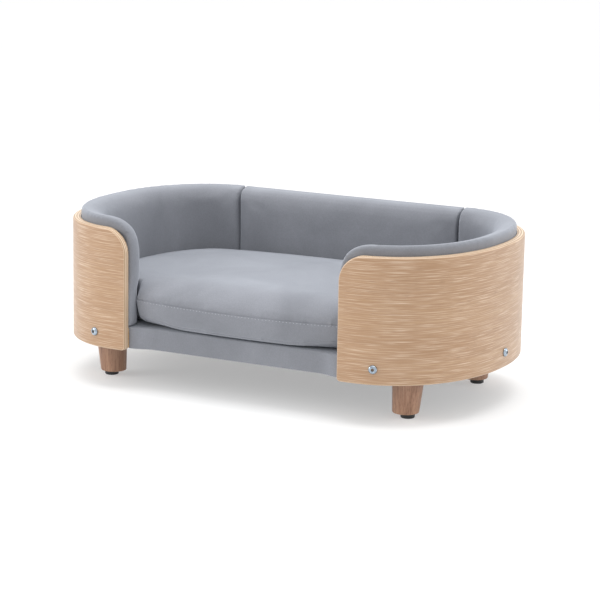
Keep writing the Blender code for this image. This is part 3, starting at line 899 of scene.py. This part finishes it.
def seamPath(free, lined):
    # closely spaced points along the seam, with the heights of the upper and the lower seam there
    outline = np.array(mirrored(lined)[:-1] + mirrored(free)[:-1] + free + lined[1:])
    steps = np.r_[0, np.cumsum(np.linalg.norm(np.diff(outline, axis=0), axis=1))]
    count = int(steps[-1] / seamSizes["pathStep"])
    places = np.linspace(0, steps[-1], count, endpoint=False)
    flat = np.stack([np.interp(places, steps, outline[:, axis]) for axis in (0, 1)], axis=1)
    farFromFront, _ = nearestOn(flat, mirrored(free)[:-1] + free, False)
    return flat, seamHeight(flat[:, 0], farFromFront), footHeight(flat[:, 0], farFromFront, np.zeros(count))


def sewSeam(mesh, path, depthShare):
    # presses a seam into the surface, with a soft ridge and small puckers on both sides
    size = seamSizes
    shape = bmesh.new()
    shape.from_mesh(mesh)
    surface = BVHTree.FromBMesh(shape)
    line = KDTree(len(path))
    for index, point in enumerate(path):
        line.insert(surface.find_nearest(point)[0], index)
    line.balance()
    near = {vert.index for vert in shape.verts if line.find(vert.co)[2] < size["reach"]}
    edges = [edge for edge in shape.edges if all(vert.index in near for vert in edge.verts)]
    bmesh.ops.subdivide_edges(shape, edges=edges, cuts=2, use_grid_fill=True)
    shape.normal_update()
    moves = []
    for vert in shape.verts:
        far = line.find(vert.co)[2]
        if far < size["puckerReach"]:
            groove = size["groove"] * math.exp(-(far / size["grooveWide"]) ** 2)
            ridge = size["ridge"] * math.exp(-((far - size["ridgeAt"]) / size["ridgeWide"]) ** 2)
            pucker = size["pucker"] * noise.noise(vert.co * size["puckerScale"])
            pucker *= 1 - far / size["puckerReach"]
            moves.append((vert, vert.normal * depthShare * (ridge + pucker - groove)))
    for vert, move in moves:
        vert.co += move
    shape.to_mesh(mesh)
    shape.free()
    mesh.update()


def makeStitches(mesh, flat, heights):
    # one short turn of thread for each stitch, half sunk in the cloth just below the seam
    size = stitchSizes
    shape = bmesh.new()
    shape.from_mesh(mesh)
    surface = BVHTree.FromBMesh(shape)
    shape.free()
    single = bmesh.new()
    bmesh.ops.create_uvsphere(single, u_segments=6, v_segments=5, radius=0.5)
    bmesh.ops.scale(single, vec=(size["long"], size["thick"], size["thick"]), verts=single.verts)
    stitch = bpy.data.meshes.new("stitch")
    single.to_mesh(stitch)
    single.free()
    stitches = bmesh.new()
    step = max(1, round(size["pitch"] / float(np.linalg.norm(flat[1] - flat[0]))))
    for index in range(0, len(flat), step):
        here, after = flat[index], flat[(index + 1) % len(flat)]
        along = Vector((*(after - here), 0)).normalized()
        out = Vector((along.y, -along.x, 0))
        start = Vector((*here, heights[index] - size["below"])) + out * size["castFrom"]
        spot, normal, _, _ = surface.ray_cast(start, -out, 2 * size["castFrom"])
        if spot is None:
            continue
        along = (along - along.dot(normal) * normal).normalized()
        turn = Matrix((along, normal.cross(along), normal)).transposed().to_4x4()
        first = len(stitches.verts)
        stitches.from_mesh(stitch)
        stitches.verts.ensure_lookup_table()
        bmesh.ops.transform(stitches, matrix=Matrix.Translation(spot) @ turn, verts=stitches.verts[first:])
    bpy.data.meshes.remove(stitch)
    finishPiece("cushionStitches", stitches, thread, "cushion", (), 0)


def makeCushion():
    size = cushionSizes
    free, lined = cushionOutline()
    outline = free + lined[:-1] + mirrored(lined) + mirrored(free)[:-1]
    shape = bmesh.new()
    face = shape.faces.new([shape.verts.new((x, y, 0)) for x, y in outline])
    drawn = bmesh.ops.extrude_face_region(shape, geom=[face])
    lifted = [item for item in drawn["geom"] if isinstance(item, bmesh.types.BMVert)]
    deep = size["seamMiddle"] - size["bottom"]
    bmesh.ops.translate(shape, verts=lifted, vec=(0, 0, deep))
    bmesh.ops.recalc_face_normals(shape, faces=shape.faces)
    helper = looseObject("cushionWork", shape)
    remeshed(helper, size["voxel"])
    points = coordinates(helper.data)
    plan = points[:, :2]
    edge, inward = nearestOn(plan, outline, True)
    farFromFront, _ = nearestOn(plan, mirrored(free)[:-1] + free, False)
    # the front line runs on straight past the corners, so that the crown stays full beside the arms
    straight = [point for point in free if point[0] <= size["frontHalf"] - size["corner"]]
    straight.append((size["frontHalf"] + size["runOn"], straight[-1][1]))
    farBehind, _ = nearestOn(plan, mirrored(straight)[:-1] + straight, False)
    loose = [point for point in lined if point[0] < size["frontHalf"] - 0.001 or point[0] > size["armEnd"]]
    farFromLining, _ = nearestOn(plan, loose[:-1] + mirrored(loose), False)
    # beside the arms the top keeps its height right up to the side, but for the rounded corner itself
    farFromCorner, _ = nearestOn(plan * np.where(plan[:, :1] < 0, (-1, 1), (1, 1)), free[-9:], False)
    share = np.clip(points[:, 2] / deep, 0, 1)
    seam = seamHeight(points[:, 0], farFromFront)
    foot = footHeight(points[:, 0], farFromFront, edge)
    fall = size["crownEnd"] - size["crownMiddle"]
    crown = size["crownMiddle"] + fall * (points[:, 0] / size["crownHalf"]) ** 2
    ahead = 1 - np.clip(farBehind / size["frontReach"], 0, 1)
    rise = (1 - ahead ** size["frontPower"]) ** size["frontRound"]
    rise *= 1 - (1 - np.clip(farFromLining / size["linedReach"], 0, 1)) ** size["linedPower"]
    rise *= smoothStep(farFromCorner / size["cornerReach"])
    rise[(edge < 0.001) & (farBehind < 0.001)] = 0
    points[:, 2] = foot + (seam + (crown - seam) * rise - foot) * share
    tuck = size["tuck"] * (1 - share) ** size["tuckPower"] * (1 - np.clip(edge / size["tuckReach"], 0, 1))
    points[:, :2] += inward * tuck[:, None]
    setCoordinates(helper.data, points)
    held = (share < 0.02) | (np.hypot(edge, (1 - share) * deep) < 0.6 * size["voxel"])
    puffUp(helper, size["pressure"], size["cap"], np.nonzero(held)[0])
    subdivided(helper)
    flat, seamHeights, footHeights = seamPath(free, lined)
    sewSeam(helper.data, [Vector((*place, height)) for place, height in zip(flat, seamHeights)], 1.0)
    sewSeam(helper.data, [Vector((*place, height)) for place, height in zip(flat, footHeights)], 0.6)
    makeStitches(helper.data, flat, seamHeights)
    piece = finishPiece("seatCushion", helper.data, velvet, "cushion", ["seat_cushion"], 0)
    bpy.data.objects.remove(helper)


makeCushion()
print("cushion made")

coverSizes = {
    "cloth": 0.0008, "round": 0.002, "flare": 0.0105, "flareFrom": 0.150, "flareTo": 0.190,
    "grid": 0.010, "hem": 0.014, "hemDrop": 0.0001, "clear": 0.0008,
    "proud": 0.0013, "endGap": 0.0004, "frontSteps": 64, "ringSteps": 72,
    "sideTurn": 0.024, "frontTurn": 0.060,  # what the flat cloth has beyond the deck
    "stapled": 0.022,                       # area hidden in the 12 mm that is stapled down, all round
}
dustSizes = {
    "inset": 0.0165, "front": 0.1862, "bottom": 0.0674, "cloth": 0.0005, "grid": 0.022, "hole": 0.006,
    "staplePitch": 0.034, "stapleInset": 0.006, "stapleLong": 0.010, "wire": 0.0011,
    "ripple": 0.0003, "rippleScale": 14, "endLap": 0.002, "flat": (0.726, 0.399),
}
gridHalf = (0.37, 0.215)  # how far the covers' grids reach, in X and Y


def coverOutline(frontX, frontY, inset):
    # the front line from left to right, then round the inside of the shell
    count = coverSizes["ringSteps"]
    arcs = np.r_[openingHalf, np.linspace(shellLine["endCentre"], arcAtTurn(180), count)]
    ring = bendPoints(np.stack([arcs, np.full(count + 1, inset), np.zeros(count + 1)], axis=1), 1)
    outline = list(zip(frontX, frontY)) + [(x, y) for x, y, _ in ring[1:]]
    return outline + [(-x, y) for x, y, _ in reversed(ring[1:])]


def pullDown(shape, edges, move):
    drawn = bmesh.ops.extrude_edge_only(shape, edges=edges)
    fresh = [item for item in drawn["geom"] if isinstance(item, bmesh.types.BMVert)]
    bmesh.ops.translate(shape, verts=fresh, vec=move)
    return [edge for edge in shape.edges if all(vert in fresh for vert in edge.verts)]


def gridCuts(shape, pitch):
    for axis, reach in enumerate(gridHalf):
        steps = int(reach / pitch)
        cutAcross(shape, [pitch * step for step in range(-steps, steps + 1)], axis)


def makeBaseCover():
    size = coverSizes
    low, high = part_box("base_cover")
    face = -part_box("front_rail")[0].y + size["proud"]
    frontX = np.linspace(-openingHalf + size["endGap"], openingHalf - size["endGap"], size["frontSteps"])
    flareLong = size["flareTo"] - size["flareFrom"]
    flare = size["flare"] * smoothStep((np.abs(frontX) - size["flareFrom"]) / flareLong)
    outline = coverOutline(frontX, -face - flare, plyThick + size["clear"])
    shape = bmesh.new()
    verts = [shape.verts.new((x, y, high.z)) for x, y in outline]
    shape.faces.new(verts)
    front = [edge for edge in shape.edges if all(vert in verts[:len(frontX)] for vert in edge.verts)]
    lower = pullDown(shape, front, (0, 0, low.z - size["hemDrop"] - high.z))
    pullDown(shape, lower, (0, size["hem"], 0))
    bmesh.ops.recalc_face_normals(shape, faces=shape.faces)
    largest = max(shape.faces, key=lambda item: item.calc_area())
    if largest.normal.z < 0:
        bmesh.ops.reverse_faces(shape, faces=shape.faces)
    roundEdges(
        shape,
        lambda a, b: abs(a.z - b.z) < 1e-6 and max(a.y, b.y) < -face + 1e-4 and abs(a.x - b.x) > 1e-4,
        size["round"], 4,
    )
    gridCuts(shape, size["grid"])
    piece = finishPiece("baseCover", shape, velvet, "bed_frame", ["base_cover"], 0)
    thick = piece.modifiers.new("cloth", "SOLIDIFY")
    thick.thickness = size["cloth"]
    thick.offset = -1.0


def makeDustCover():
    size = dustSizes
    frontX = np.linspace(-openingHalf - size["endLap"], openingHalf + size["endLap"], 3)
    outline = coverOutline(frontX, np.full(3, -size["front"]), size["inset"])
    shape = bmesh.new()
    shape.faces.new([shape.verts.new((x, y, size["bottom"])) for x, y in reversed(outline)])
    gridCuts(shape, size["grid"])
    for endName in ("front", "back"):
        for sideName in ("left", "right"):
            low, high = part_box(f"hanger_bolt_{endName}_{sideName}")
            middle = (low + high) / 2
            cutAcross(shape, [middle.x - size["hole"], middle.x + size["hole"]], 0)
            cutAcross(shape, [middle.y - size["hole"], middle.y + size["hole"]], 1)
            spot = Vector((middle.x, middle.y, size["bottom"]))
            inside = [
                face for face in shape.faces
                if (face.calc_center_median() - spot).length < size["hole"] * 0.9
            ]
            bmesh.ops.delete(shape, geom=inside, context="FACES")
    for vert in shape.verts:
        vert.co.z += size["ripple"] * noise.noise(vert.co * size["rippleScale"])
    piece = finishPiece("dustCover", shape, dustCloth, "bed_frame", ["dust_cover"], 0)
    thick = piece.modifiers.new("cloth", "SOLIDIFY")
    thick.thickness = size["cloth"]
    thick.offset = -1.0
    makeStaples(outline)


def makeStaples(outline):
    # along the dust cover's edge
    size = dustSizes
    points = np.array(outline + outline[:1])
    steps = np.r_[0, np.cumsum(np.linalg.norm(np.diff(points, axis=0), axis=1))]
    staples = bmesh.new()
    count = int(steps[-1] / size["staplePitch"])
    for index in range(count):
        place = steps[-1] * (index + 0.5) / count
        here, ahead = [np.array([np.interp(at, steps, points[:, axis]) for axis in (0, 1)])
                       for at in (place, place + 0.001)]
        along = Vector((*(ahead - here), 0)).normalized()
        spot = Vector((*here, size["bottom"] - size["wire"] * 0.35))
        spot += Vector((-along.y, along.x, 0)) * size["stapleInset"]
        turn = Matrix.Rotation(math.atan2(along.y, along.x), 4, "Z")
        made = bmesh.ops.create_cube(staples, size=1.0)
        across = (size["stapleLong"], size["wire"], size["wire"] * 0.7)
        bmesh.ops.scale(staples, vec=across, verts=made["verts"])
        bmesh.ops.transform(staples, matrix=Matrix.Translation(spot) @ turn, verts=made["verts"])
    roundEdges(staples, lambda a, b: (a - b).length > size["wire"] * 0.5, size["wire"] * 0.2, 2)
    finishPiece("dustCoverStaples", staples, zinc, "bed_frame", (), 30)


makeBaseCover()
makeDustCover()
print("covers made")

legSizes = {
    "foot": 0.0213, "lean": 0.0038, "round": 0.0022, "sides": 72,
    "glideHole": 0.0028, "glideDeep": 0.012, "boltHole": 0.0046, "boltDeep": 0.033, "chamfer": 0.0008,
    "shoulder": 0.001, "core": 0.010,  # the lean only moves what lies outside the core
}
glideSizes = {"round": 0.0022, "rim": 0.0068, "top": 0.0076, "chamfer": 0.0006, "stem": 0.0021, "sides": 48}


def roundedFoot(radius, low, rounding):
    # (radius, height) points round the lower edge of a turned piece
    turns = [math.radians(15 * step) for step in range(7)]
    return [
        (radius - rounding * (1 - math.sin(turn)), low + rounding * (1 - math.cos(turn))) for turn in turns
    ]


def makeLegs():
    size = legSizes
    for sideName, side in (("left", -1), ("right", 1)):
        for endName in ("front", "back"):
            node = f"leg_{endName}_{sideName}"
            low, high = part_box(node)
            glideLow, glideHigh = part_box(f"glide_{endName}_{sideName}")
            centre = (glideLow + glideHigh) / 2
            topRadius = (high.y - low.y) / 2
            foot = roundedFoot(size["foot"], low.z, size["round"])
            start, end = low.z + size["round"], high.z - size["shoulder"]
            holeTop, holeFoot = low.z + size["glideDeep"], high.z - size["boltDeep"]
            profile = [(0, holeTop), (size["glideHole"], holeTop), (size["glideHole"], low.z)] + foot
            profile += [
                (size["foot"] + (topRadius - size["foot"]) * step / 6, start + (end - start) * step / 6)
                for step in range(1, 7)
            ]
            profile += [(topRadius - size["chamfer"], high.z), (size["boltHole"], high.z)]
            profile += [(size["boltHole"], holeFoot), (0, holeFoot)]
            shape = spinProfile(profile, size["sides"])
            for vert in shape.verts:
                if vert.co.xy.length > size["core"]:
                    vert.co.x -= side * size["lean"] * (high.z - vert.co.z) / (high.z - low.z)
            bmesh.ops.translate(shape, verts=shape.verts, vec=(centre.x, centre.y, 0))
            piece = finishPiece(f"leg{endName.title()}{sideName.title()}", shape, legWood, "bed_frame",
                                [node], 50)
            evenShading(piece)


def makeGlides():
    size = glideSizes
    for sideName in ("left", "right"):
        for endName in ("front", "back"):
            node = f"glide_{endName}_{sideName}"
            low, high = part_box(node)
            centre = (low + high) / 2
            radius = (high.x - low.x) / 2
            # a shallow dish underneath, a rounded rim, and the stem that goes into the leg
            profile = [(0, size["chamfer"]), (radius * 0.55, size["chamfer"]), (radius * 0.62, 0.0)]
            profile += roundedFoot(radius, 0, size["round"])
            profile += [(radius, size["rim"]), (radius - size["chamfer"], size["top"])]
            profile += [(size["stem"], size["top"]), (size["stem"], high.z), (0, high.z)]
            shape = spinProfile(profile, size["sides"])
            bmesh.ops.translate(shape, verts=shape.verts, vec=(centre.x, centre.y, 0))
            finishPiece(f"glide{endName.title()}{sideName.title()}", shape, nylon, "bed_frame",
                        [node], 40)


boltSizes = {
    "head": 0.0070, "rise": 0.0039, "edge": 0.0004, "domePower": 0.62,
    "socket": 0.0028, "socketDeep": 0.0055, "shank": 0.0030, "shankLong": 0.030,
    "height": 0.091, "sunk": 0.0002,
    "turns": {"front": 13.4, "middle": 90.0, "back": 166.6},  # degrees round each end, from the front
}


def makeShellBolts():
    size = boltSizes
    for name, side in (("left", -1), ("right", 1)):
        for place, degrees in size["turns"].items():
            arc = arcAtTurn(degrees)
            ends = np.array([[arc, -size["sunk"], size["height"]], [arc, plyThick, size["height"]]])
            point, inner = [Vector(spot) for spot in bendPoints(ends, side)]
            out = (point - inner).normalized()
            profile = [(0, -size["shankLong"]), (size["shank"], -size["shankLong"]), (size["shank"], 0)]
            profile.append((size["head"] - size["edge"], 0))
            for step in range(11):
                turn = math.radians(90 * step / 11)
                height = size["edge"] + (size["rise"] - size["edge"]) * math.sin(turn)
                profile.append((size["head"] * math.cos(turn) ** size["domePower"], height))
            profile.append((0, size["rise"]))
            shape = spinProfile(profile, 48)
            socket = bmesh.new()
            bmesh.ops.create_cone(
                socket, cap_ends=True, segments=6, radius1=size["socket"], radius2=size["socket"],
                depth=2 * size["socketDeep"], matrix=Matrix.Translation((0, 0, size["rise"])),
            )
            shape = cutAway(shape, socket)
            frameOut = out.to_track_quat("Z", "Y").to_matrix().to_4x4()
            bmesh.ops.transform(shape, matrix=Matrix.Translation(point) @ frameOut, verts=shape.verts)
            finishPiece(f"{name}ShellBolt{place.title()}", shape, zinc, "bed_frame",
                        [f"{name}_shell_bolt_{place}"], 30)


makeLegs()
makeGlides()
makeShellBolts()
print("legs, glides and bolts made")

# carried-over CAD nodes take their slot's material
slotOfNode = {part["node"]: part["material_slot"] for part in frame["record"]["subparts"]}
for node, piece in frame["nodes"].items():
    piece.data.materials.clear()
    piece.data.materials.append(slotMaterials[slotOfNode[node]])

studio = {
    "floor": 14.0, "world": 1.0, "floorTone": 0.6, "floorGlow": 0.37,
    # place, size across, second size, watts
    "overhead": ((0.0, 0.1, 1.9), 2.2, 1.4, 28.0),
    "left": ((-2.1, -1.6, 1.0), 1.2, 1.0, 19.0),
    "right": ((2.2, 1.7, 0.8), 1.0, 1.2, 12.0),
}


def makeStage():
    shape = bmesh.new()
    bmesh.ops.create_grid(shape, x_segments=1, y_segments=1, size=studio["floor"])
    mesh = bpy.data.meshes.new("floor")
    shape.to_mesh(mesh)
    shape.free()
    floorLook, tree, shader = newMaterial("floorPaint", {
        "Roughness": 0.8, "Base Color": grey(studio["floorTone"]), "Emission Color": grey(1.0),
        "Emission Strength": studio["floorGlow"],
    })
    mesh.materials.append(floorLook)
    floor = bpy.data.objects.new("floor", mesh)
    bpy.context.scene.collection.objects.link(floor)
    world = bpy.data.worlds.new("studio")
    world.use_nodes = True
    background = world.node_tree.nodes["Background"]
    background.inputs["Color"].default_value = grey(1.0)
    background.inputs["Strength"].default_value = studio["world"]
    bpy.context.scene.world = world
    for name in ("overhead", "left", "right"):
        place, across, along, power = studio[name]
        lamp = bpy.data.lights.new(name + "Softbox", "AREA")
        lamp.shape = "RECTANGLE"
        lamp.size = across
        lamp.size_y = along
        lamp.energy = power
        light = bpy.data.objects.new(name + "Softbox", lamp)
        light.location = place
        light.rotation_euler = (Vector((0, 0, 0.15)) - Vector(place)).to_track_quat("-Z", "Y").to_euler()
        bpy.context.scene.collection.objects.link(light)


cameraView = {
    # degrees, metres and millimetres
    "azimuth": 27.873, "elevation": 11.625, "roll": 1.006, "distance": 3.5412,
    "target": (0.0617, -0.1001, 0.1575), "lens": 132.27,
}


def makeCamera():
    view = cameraView
    around, up = math.radians(view["azimuth"]), math.radians(view["elevation"])
    back = Vector((math.sin(around) * math.cos(up), -math.cos(around) * math.cos(up), math.sin(up)))
    right = Vector((math.cos(around), math.sin(around), 0))
    turn = Matrix((right, back.cross(right), back)).transposed() @ Matrix.Rotation(
        math.radians(view["roll"]), 3, "Z"
    )
    data = bpy.data.cameras.new("camera")
    data.lens = view["lens"]
    camera = bpy.data.objects.new("camera", data)
    camera.matrix_world = Matrix.Translation(Vector(view["target"]) + back * view["distance"]) @ turn.to_4x4()
    bpy.context.scene.collection.objects.link(camera)
    bpy.context.scene.camera = camera


makeStage()
makeCamera()
bpy.context.scene.view_settings.view_transform = "Standard"
print("stage made")
